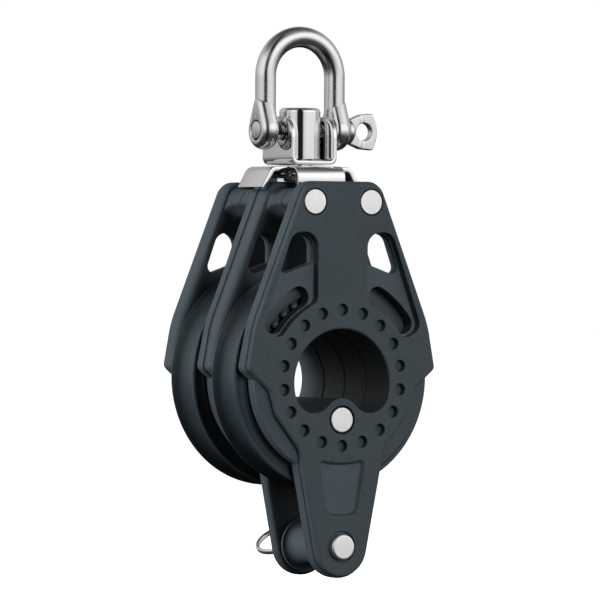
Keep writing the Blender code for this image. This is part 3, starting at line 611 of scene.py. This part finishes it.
# Balls on a circle round the sheave axis, all as one set of points and faces.
def ballRing(train, plane, rings=10, sides=14):
    pitch, radius, count = train["pitch"], train["radius"], train["count"]
    lat = np.linspace(-math.pi / 2, math.pi / 2, rings + 1)[:, None]
    lon = math.tau * np.arange(sides) / sides
    ball = np.stack([np.cos(lat) * np.cos(lon), np.sin(lat) * np.ones_like(lon),
                     np.cos(lat) * np.sin(lon)], -1)
    ball = ball.reshape(-1, 3) * radius
    quads = gridQuads(rings + 1, sides)
    turns = math.tau * np.arange(count) / count
    centres = np.stack([pitch * np.cos(turns), np.full(count, plane), pitch * np.sin(turns)], 1)
    points = (centres[:, None] + ball[None]).reshape(-1, 3)
    faces = (np.arange(count)[:, None, None] * len(ball) + quads[None]).reshape(-1, 4)
    return points, faces


for place, plane in (("front", -sheavePlane), ("rear", sheavePlane)):
    sheavePiece = makePiece(place + "SheaveTurned", [turnedSurface(sheaveProfile(sheaveShape), (0, plane, 0),
                                                                   steps=180)], [acetal])
    settle(evenShading(sheavePiece), place + "_sheave", "acetal", place + "_sheave")
    loadPiece = makePiece(place + "LoadBalls", [ballRing(loadBalls, plane)], [ballAcetal])
    settle(loadPiece, place + "_load_train", "ball", place + "_load_balls")
    for end, shift in (("front", -thrustPlane), ("rear", thrustPlane)):
        thrustPiece = makePiece(place + "ThrustBalls" + end.title(),
                                [ballRing(thrustBalls, plane + shift)], [ballAcetal])
        settle(thrustPiece, place + "_thrust_train", "ball", place + "_thrust_balls_" + end)


def pinProfile(head, shank, front, rear, headDepth, soft):
    ends = [(0.0, front), (head - soft, front)] + [
        (head - soft + soft * math.sin(a), front + soft * (1 - math.cos(a)))
        for a in np.linspace(0.3, 1.57, 5)
    ]
    ends += [(head, front + headDepth), (shank, front + headDepth)]
    return ends, rear


for node, (x, z) in {"head_pin_left": (-10.9, 58.95), "head_pin_right": (10.9, 58.95),
                     "hub_pin": (0, -14.1)}.items():
    frontEnd, rear = pinProfile(4.22, 3.0, -29.5, 29.3, 2.5, 0.35)
    rearEnd = [(radius, -29.5 - along + rear) for radius, along in frontEnd[::-1]]
    pinPiece = makePiece(camel(node) + "Turned", [turnedSurface(frontEnd + rearEnd, (x, 0, z), steps=64,
                                                                      closed=False)], [satinSteel])
    settle(evenShading(pinPiece), "frame", "satin_steel", node)

becketShape = {"z": -56.7, "head": 4.3, "front": -31.1, "shoulder": -28.85, "shank": 3.2, "end": 4.4,
               "flange": 9.1, "barrel": 6.1, "bore": 3.5, "spool": (-22.25, -4.65)}
ringShape = {"y": 2.2, "turn": 30.0, "tilt": 10.0, "radius": 8.3, "wire": 0.62, "sag": 0.3}


# The pin's front end is a rounded head; the plain end carries the ring.
def becketPinSurfaces(shape):
    head, front = shape["head"], shape["front"]
    soft = 0.7
    crown = [(head - soft + soft * math.sin(a), front + soft * (1 - math.cos(a)))
             for a in np.linspace(0.05, 1.57, 7)]
    profile = [(0.0, front)] + crown + [
        (head, shape["shoulder"]), (shape["shank"], shape["shoulder"]),
        (shape["shank"], shape["end"] - 0.5), (shape["shank"] - 0.15, shape["end"] - 0.15),
        (shape["shank"] - 0.5, shape["end"]), (0.0, shape["end"]),
    ]
    return [turnedSurface(profile, (0, 0, shape["z"]), steps=72, closed=False)]


# A waisted roller: each flange falls to the barrel along a quarter ellipse.
def becketSpoolSurfaces(shape):
    front, rear = shape["spool"]
    waist = shape["flange"] - shape["barrel"]
    half = [(shape["flange"] - 0.35, 0.0), (shape["flange"] - 0.1, 0.1), (shape["flange"], 0.4)]
    half += [(shape["flange"] - waist * math.sin(a), 1.1 + 3.6 * (1 - math.cos(a)))
             for a in np.linspace(0, 1.57, 10)]
    bore = [(shape["bore"] + 0.4, 0.0), (5.2, 0.0), (5.4, 0.35), (7.4, 0.35), (7.6, 0.0)]
    ends = bore + half
    profile = [(radius, front + along) for radius, along in ends]
    profile += [(radius, rear - along) for radius, along in ends[::-1]]
    profile += [(shape["bore"], rear - 0.4), (shape["bore"], front + 0.4)]
    return [turnedSurface(profile, (0, 0, shape["z"]), steps=72)]


# Two turns of wire side by side, which cross over where the ring's ends are tucked in.
def ringPath(shape, radius, z):
    turn, tilt = math.radians(shape["turn"]), math.radians(shape["tilt"])
    along = np.array([math.cos(turn), 0, math.sin(turn)])
    back = np.array([-math.sin(turn) * math.sin(tilt), math.cos(tilt), math.cos(turn) * math.sin(tilt)])
    lift = np.cross(along, back)
    angles = np.linspace(0, 2 * math.tau, 161)[:, None]
    side = (angles / math.tau - 1) * 0.62
    middle = np.array([0, shape["y"], z]) + back * (shape["radius"] - shape["sag"])
    path = middle + radius * (along * np.cos(angles) + back * np.sin(angles)) + lift * side
    return path, lift


# Closes both ends of an open bar with a point a little beyond its last ring.
def closedBar(path, radius, normal, sides=12, reach=0.25):
    path = np.array(path, float)
    first = path[0] + (path[0] - path[1]) / np.linalg.norm(path[0] - path[1]) * reach
    last = path[-1] + (path[-1] - path[-2]) / np.linalg.norm(path[-1] - path[-2]) * reach
    radii = np.concatenate([[radius * 0.02, radius * 0.75], np.full(len(path) - 2, radius),
                            [radius * 0.75, radius * 0.02]])
    points, faces = barSurface(np.concatenate([[first], path, [last]]), radii, normal, sides)
    caps = np.array([np.arange(sides), np.arange(len(points) - sides, len(points))])
    return [(points, faces), (points, caps)]


pinPiece = makePiece("becketPinTurned", becketPinSurfaces(becketShape), [satinSteel])
settle(evenShading(pinPiece), "becket_pin", "satin_steel", "becket_pin")
spoolPiece = makePiece("becketSpoolMoulding", becketSpoolSurfaces(becketShape), [smoothNylon])
settle(evenShading(spoolPiece), "becket_spool", "nylon", "becket_spool")
ringLine, ringLift = ringPath(ringShape, ringShape["radius"], becketShape["z"])
ringPiece = makePiece("splitRingWire", closedBar(ringLine, ringShape["wire"], ringLift), [satinSteel], 60)
settle(ringPiece, "split_ring", "satin_steel", "split_ring")


# A sheet's centre line (u, w) offset half the thickness each way, with rounded long edges, spanning
# low to high across; width(u, w) may narrow or trim the span point by point.
def bentSheet(line, thickness, low, high, edge=0.3, trim=None):
    line = np.array(line, float)
    along = np.gradient(line, axis=0)
    along /= np.linalg.norm(along, axis=1)[:, None]
    out = np.stack([-along[:, 1], along[:, 0]], 1)
    half = thickness / 2
    angles = np.linspace(0, math.pi / 2, 4)
    # one rounded corner, from the sheet's face to its edge at the high end, then its mirror images
    corner = np.stack([half - edge + edge * np.cos(angles), -edge + edge * np.sin(angles)], 1)
    section = np.concatenate([corner, corner[::-1] * (-1, 1)])
    section = np.concatenate([section, section[::-1] * (1, -1)])
    offsets, rims = section[:, 0], section[:, 1]
    upper = np.arange(len(section)) < len(corner) * 2
    points = np.zeros((len(line), len(section), 3))
    lows = np.full(len(line), float(low))
    highs = np.full(len(line), float(high))
    if trim is not None:
        lows, highs = trim(line)
    flat = line[:, None] + out[:, None] * offsets[None, :, None]
    points[..., 0] = flat[..., 0]
    points[..., 2] = flat[..., 1]
    points[..., 1] = np.where(upper[None], highs[:, None] + rims[None], lows[:, None] + rims[None])
    shape = points.reshape(-1, 3)
    sides = len(section)
    ends = np.array([np.arange(sides), np.arange(len(shape) - sides, len(shape))])
    return [(shape, gridQuads(len(line), sides)), (shape, ends)]


# A path through corners (u, w, radius) with its bends as arcs; the first and last are its ends.
def bentLine(corners, steps=8):
    rows = [np.array(corners[0][:2], float)[None]]
    for before, here, after in zip(corners, corners[1:], corners[2:]):
        loop = roundedOutline([(*before[:2], 0), here, (*after[:2], 0)], steps)
        rows.append(loop[1:-1])
    rows.append(np.array(corners[-1][:2], float)[None])
    return np.concatenate(rows)


saddleShape = {"top": 71.3, "sheet": 2.0, "legHalf": 8.3, "flangeHalf": 9.3, "plane": 14.1}
lockShape = {"base": 71.6, "sheet": 1.5, "top": 88.0, "halfDepth": 10.0, "halfWidth": 8.85,
             "corner": 7.0}


def saddleSurfaces(shape):
    middle = shape["top"] - shape["sheet"] / 2
    leg = [(-18.7, 63.6, 0), (-15.1, middle - 0.2, 2.6), (0, middle, 0), (15.1, middle - 0.2, 2.6),
           (18.7, 63.6, 0)]
    legs = bentSheet(bentLine(leg, 10), shape["sheet"] - 0.2, -shape["legHalf"], shape["legHalf"])
    down = [(-shape["plane"], 54.4, 0), (-shape["plane"], middle, 3.0), (0, middle, 0),
            (shape["plane"], middle, 3.0), (shape["plane"], 54.4, 0)]
    half = shape["flangeHalf"]

    # the ears flare below the bend, then taper to their lower edge
    def earTrim(line):
        drop = np.clip((63.2 - line[:, 1]) / 1.6, 0, 1) ** 0.5
        taper = np.clip((57.8 - line[:, 1]) / 3.4, 0, 1)
        width = half + (12.4 - half) * drop - 3.2 * taper
        return -width, width

    line = bentLine(down, 10)
    line = np.concatenate([line[:1] + (line[1:2] - line[:1]) * np.linspace(0, 1, 14)[:-1, None], line[1:-1],
                           line[-2:-1] + (line[-1:] - line[-2:-1]) * np.linspace(0, 1, 14)[:, None]])
    _, keep = np.unique(np.round(line, 4), axis=0, return_index=True)
    line = line[np.sort(keep)]
    flanges = across(bentSheet(line, shape["sheet"] - 0.25, -half, half, trim=earTrim), "X")
    return legs, flanges


def lockPlateSurfaces(shape):
    middle = shape["base"] + shape["sheet"] / 2
    wallX = shape["halfWidth"] - shape["sheet"] / 2
    path = [(-wallX, shape["top"], 0), (-wallX, middle, 1.9), (wallX, middle, 1.9), (wallX, shape["top"], 0)]
    line = bentLine(path, 10)
    rise = np.linspace(0, 1, 25)[:-1, None] ** 0.8
    line = np.concatenate([line[:1] + (line[1:2] - line[:1]) * rise, line[1:-1],
                           (line[-1:] + (line[-2:-1] - line[-1:]) * rise)[::-1]])
    corner = shape["corner"]

    # round upper corners: the span shrinks along a circle as the ear nears its top
    def earTrim(line):
        short = np.clip(line[:, 1] - (shape["top"] - corner), 0, corner)
        width = shape["halfDepth"] - corner + np.sqrt(np.maximum(corner ** 2 - short ** 2, 0.3))
        return -width, width

    return bentSheet(line, shape["sheet"], -shape["halfDepth"], shape["halfDepth"], trim=earTrim)


legPart, flangePart = saddleSurfaces(saddleShape)
saddlePiece = makePiece("saddleLegs", legPart, [mirrorSteel], 50)
settle(saddlePiece, "frame", "polished_steel", "saddle")
flangePiece = makePiece("saddleFlanges", flangePart, [mirrorSteel], 50)
settle(flangePiece, "frame", "polished_steel")
lockPiece = makePiece("lockPlateSheet", lockPlateSurfaces(lockShape), [mirrorSteel], 50)
settle(lockPiece, "post", "polished_steel", "lock_plate")


postShape = {"radius": 7.0, "bottom": 73.5, "top": 91.0, "stem": 4.0, "stemBottom": 66.4, "edge": 1.5}


def postProfile(shape):
    radius, top, edge = shape["radius"], shape["top"], shape["edge"]
    crown = [(radius - edge + edge * math.sin(a), top - edge + edge * math.cos(a))
             for a in np.linspace(0, 1.57, 9)]
    return [(0.0, top)] + crown + [
        (radius, shape["bottom"] + 0.4), (radius - 0.12, shape["bottom"] + 0.12),
        (radius - 0.4, shape["bottom"]),
        (shape["stem"] + 0.3, shape["bottom"]), (shape["stem"], shape["bottom"] - 0.3),
        (shape["stem"], shape["stemBottom"] + 0.4), (shape["stem"] - 0.4, shape["stemBottom"]),
        (0.0, shape["stemBottom"]),
    ]


postTurned = turnedSurface(postProfile(postShape), axis="Z", steps=128, closed=False)
postPiece = makePiece("headPostTurned", [postTurned], [mirrorSteel])
settle(evenShading(postPiece), "post", "polished_steel", "head_post")
washerPiece = makePiece("swivelWasherTurned", [turnedSurface(
    [(4.3, 68.35), (6.35, 68.35), (6.5, 68.5), (6.5, 68.9), (6.35, 69.05), (4.3, 69.05)],
    axis="Z", steps=72)],
    [satinSteel])
settle(evenShading(washerPiece), "post", "polished_steel", "swivel_washer")
hexagon = evenOutline(circlePoints(0, 0, 6.25, 6))
stemHole = evenOutline(circlePoints(0, 0, 4.3, 48))
nutPiece = makePiece("swivelNutHexagon", across(plateSurfaces(hexagon, [stemHole], 66.25, 68.1, 0.25), "Z"),
                     [satinSteel])
settle(evenShading(nutPiece), "post", "polished_steel", "swivel_nut")


bowShape = {"half": 13.5, "centreZ": 101.6, "bar": 3.55, "pinZ": 83.3, "eyeRadius": 6.6, "eye": (11.1, 17.3),
            "crease": 91.2, "pin": 3.0, "tab": 1.5, "hole": (24.6, 3.0)}


# Legs, crown and legs as one round bar; the feet widen into the eyes.
def bowSurfaces(shape):
    crown = arcPoints(0, shape["centreZ"], shape["half"], 180, 0, 65)
    low = shape["pinZ"] + 3.5
    legZ = np.linspace(low, shape["centreZ"], 24)[:-1]
    left = np.stack([np.full(len(legZ), -shape["half"]), legZ], 1)
    flat = np.concatenate([left, crown, left[::-1] * (-1, 1)])
    path = np.stack([flat[:, 0], np.zeros(len(flat)), flat[:, 1]], 1)
    sides = 40
    points, faces = barSurface(path, shape["bar"], (0, 1, 0), sides)
    feet = np.array([np.arange(sides), np.arange(len(points) - sides, len(points))])
    return [(points, faces), (points, feet)]


# A pear-shaped eye: its outline in the Y-Z plane is the bore's boss joined to the leg by tangents.
def eyeOutline(shape):
    radius, neck = shape["eyeRadius"], shape["bar"] - 0.1
    rise = shape["crease"] + 0.4 - shape["pinZ"]
    lean = math.degrees(math.atan2(radius - neck, rise))
    boss = arcPoints(0, shape["pinZ"], radius, 180 - lean, 360 + lean, 60)
    tip = arcPoints(0, shape["pinZ"] + rise, neck, lean, 180 - lean, 24)
    return evenOutline(np.concatenate([boss, tip]))


def eyeSurfaces(shape, side):
    near, far = shape["eye"]
    outline = eyeOutline(shape)
    bore = evenOutline(circlePoints(0, shape["pinZ"], shape["pin"] + 0.25, 48))
    turns = np.linspace(0, math.pi / 2, 11)
    inner = [(1.8 * (1 - math.sin(a)), near + 2.6 * (1 - math.cos(a))) for a in turns]
    outer = [(2.3 * (1 - math.sin(a)), far - 3.4 * (1 - math.cos(a))) for a in turns]
    surfaces = [
        wall(outline, inner + outer[::-1]),
        wall(bore, [(0.3, near), (0, near + 0.3), (0, far - 0.35), (0.35, far)], hole=True),
        cap([inset(outline, 1.8), inset(bore, -0.3)], near),
        cap([inset(outline, 2.3), inset(bore, -0.35)], far),
    ]
    return [(points * (side, 1, 1), faces) for points, faces in across(surfaces, "X")]


def boltSurfaces(shape):
    far, radius = shape["eye"][1], shape["pin"]
    profile = [
        (0.0, -far), (radius - 0.35, -far), (radius - 0.1, -far + 0.1), (radius, -far + 0.35),
        (radius, far + 0.25), (4.1, far + 0.25), (4.4, far + 0.5), (4.4, far + 1.5), (4.2, far + 2.0),
        (3.6, far + 2.6), (0.0, far + 2.6),
    ]
    return [turnedSurface(profile, (0, 0, shape["pinZ"]), axis="X", steps=72, closed=False)]


def tabSurfaces(shape):
    far, z = shape["eye"][1], shape["pinZ"]
    half = [(far + 1.0, z + 3.9, 0), (far + 6.0, z + 5.9, 4), (28.0, z + 6.3, 1.0), (30.6, z, 9)]
    below = [(x, 2 * z - up, r) for x, up, r in half[:3]]
    outline = roundedOutline(below + half[3:] + half[2::-1], 12)
    hole = evenOutline(circlePoints(shape["hole"][0], z, shape["hole"][1], 64))
    return plateSurfaces(evenOutline(outline), [hole], -shape["tab"], shape["tab"], 0.45, 0.35)


bowPiece = makePiece("shackleBowForged", bowSurfaces(bowShape), [tumbledSteel], 60)
bowFaces = [eyeSurfaces(bowShape, side) for side in (-1, 1)]
settle(bowPiece, "shackle", "forged_steel", "shackle_bow")
for number, surfaces in enumerate(bowFaces):
    eyePiece = makePiece(("leftEyeForged", "rightEyeForged")[number], surfaces, [tumbledSteel], 45)
    settle(evenShading(eyePiece), "shackle", "forged_steel")
boltPiece = makePiece("shacklePinTurned", boltSurfaces(bowShape), [tumbledSteel])
settle(evenShading(boltPiece), "shackle_pin", "satin_steel", "shackle_pin")
tabPiece = makePiece("shacklePinTab", tabSurfaces(bowShape), [tumbledSteel])
settle(evenShading(tabPiece), "shackle_pin", "satin_steel")
print("metalwork made")

view = {"aim": (-16.723, -29.5, 26.05), "azimuth": 30.284, "elevation": 0.259, "roll": 0.3627,
        "distance": 2000.0, "lens": 359.68}


def makeCamera(view):
    azimuth, elevation, roll = (math.radians(view[key]) for key in ("azimuth", "elevation", "roll"))
    back = Vector((-math.sin(azimuth) * math.cos(elevation), -math.cos(azimuth) * math.cos(elevation),
                   math.sin(elevation)))
    right = Vector((math.cos(azimuth), -math.sin(azimuth), 0))
    up = back.cross(right)
    rolledRight = math.cos(roll) * right + math.sin(roll) * up
    rolledUp = math.cos(roll) * up - math.sin(roll) * right
    place = (Vector(view["aim"]) + back * view["distance"]) * mm
    data = bpy.data.cameras.new("camera")
    data.lens = view["lens"]
    data.sensor_width = 36.0
    data.clip_end = 50.0
    camera = bpy.data.objects.new("camera", data)
    bpy.context.scene.collection.objects.link(camera)
    turn = Matrix((rolledRight, rolledUp, back)).transposed().to_4x4()
    camera.matrix_world = Matrix.Translation(place) @ turn
    bpy.context.scene.camera = camera


def areaLight(name, place, size, watts, aim=(0, 0, 0.02)):
    data = bpy.data.lights.new(name, "AREA")
    data.shape = "RECTANGLE"
    data.size, data.size_y = size
    data.energy = watts
    light = bpy.data.objects.new(name, data)
    bpy.context.scene.collection.objects.link(light)
    light.visible_glossy = False
    light.location = place
    light.rotation_euler = (Vector(place) - Vector(aim)).to_track_quat("Z", "Y").to_euler()
    return light


def stagePlane(name, corners, colour):
    mesh = bpy.data.meshes.new(name)
    mesh.from_pydata(corners, [], [(0, 1, 2, 3)])
    piece = bpy.data.objects.new(name, mesh)
    bpy.context.scene.collection.objects.link(piece)
    material = bpy.data.materials.new(name)
    material.use_nodes = True
    shader = material.node_tree.nodes["Principled BSDF"]
    shader.inputs["Base Color"].default_value = linearColour(colour)
    shader.inputs["Roughness"].default_value = 0.9
    shader.inputs["Specular IOR Level"].default_value = 0.1
    mesh.materials.append(material)
    return piece


makeCamera(view)
floorZ = cadBounds[0][2] - 0.03
reach = 9.0  # half the floor's side, in metres
floor = stagePlane("floor", [(x, y, floorZ) for x, y in ((-reach, -reach), (reach, -reach), (reach, reach),
                                                         (-reach, reach))], "#F4F4F4")
floorShader = floor.data.materials[0].node_tree.nodes["Principled BSDF"]
floorShader.inputs["Emission Color"].default_value = (1, 1, 1, 1)
floorShader.inputs["Emission Strength"].default_value = 0.95
floor.visible_diffuse = False
floor.visible_glossy = False
floor.visible_shadow = False
# stops round the studio: (degrees from the front towards the left, brightness)
studio = [(-180, 0.45), (-110, 0.40), (-75, 0.7), (-60, 1.25), (-8, 1.3), (9, 0.95), (14, 0.02), (42, 0.02),
          (47, 0.8), (60, 1.15), (100, 1.0), (125, 0.72), (140, 0.66), (165, 0.6), (180, 0.45)]
heights = [(-1.0, 0.03), (-0.35, 0.05), (-0.05, 0.55), (0.12, 1.0), (0.55, 1.0), (0.78, 0.25), (1.0, 0.12)]


# A colour ramp through (position, grey) stops.
def greyRamp(tree, stops, low, high, source):
    span = addNode(tree, "ShaderNodeMapRange", i0=source, i1=low, i2=high)
    ramp = addNode(tree, "ShaderNodeValToRGB", i0=(span, 0))
    elements = ramp.color_ramp.elements
    for number, (place, grey) in enumerate(stops):
        share = (place - low) / (high - low)
        element = elements[number] if number < 2 else elements.new(share)
        element.position = share
        element.color = (grey, grey, grey, 1)
    return ramp


world = bpy.data.worlds.new("studio")
bpy.context.scene.world = world
world.use_nodes = True
tree = world.node_tree
backdrop = tree.nodes["Background"]
backdrop.inputs["Color"].default_value = (1, 1, 1, 1)
backdrop.inputs["Strength"].default_value = 1.02
direction = tree.nodes.new("ShaderNodeTexCoord")
parts = addNode(tree, "ShaderNodeSeparateXYZ", i0=(direction, "Generated"))
sideways = addNode(tree, "ShaderNodeMath", {"operation": "MULTIPLY"}, i0=(parts, 0), i1=-1.0)
frontways = addNode(tree, "ShaderNodeMath", {"operation": "MULTIPLY"}, i0=(parts, 1), i1=-1.0)
bearing = addNode(tree, "ShaderNodeMath", {"operation": "ARCTAN2"}, i0=(sideways, 0), i1=(frontways, 0))
degrees = addNode(tree, "ShaderNodeMath", {"operation": "DEGREES"}, i0=(bearing, 0))
roundStudio = greyRamp(tree, studio, -180, 180, (degrees, 0))
byHeight = greyRamp(tree, heights, -1, 1, (parts, 2))
light = addNode(tree, "ShaderNodeMath", {"operation": "MULTIPLY"}, i0=(roundStudio, 0), i1=(byHeight, 0))
rays = tree.nodes.new("ShaderNodeLightPath")
dimmed = addNode(tree, "ShaderNodeMapRange", i0=(rays, "Is Diffuse Ray"), i1=0.0, i2=1.0, i3=1.0, i4=0.12)
strength = addNode(tree, "ShaderNodeMath", {"operation": "MULTIPLY"}, i0=(light, 0), i1=(dimmed, 0))
lamps = addNode(tree, "ShaderNodeBackground", Color=(1, 1, 1, 1), Strength=(strength, 0))
both = addNode(tree, "ShaderNodeMixShader", i0=(rays, "Is Camera Ray"), i1=(lamps, 0), i2=(backdrop, 0))
tree.links.new(both.outputs[0], tree.nodes["World Output"].inputs["Surface"])
areaLight("left softbox", (-0.98, 0.22, 0.26), (0.3, 0.8), 36)
areaLight("front softbox", (-0.02, -1.0, 0.22), (0.3, 0.4), 17)
bpy.context.scene.view_settings.view_transform = "Standard"
print("stage ready")
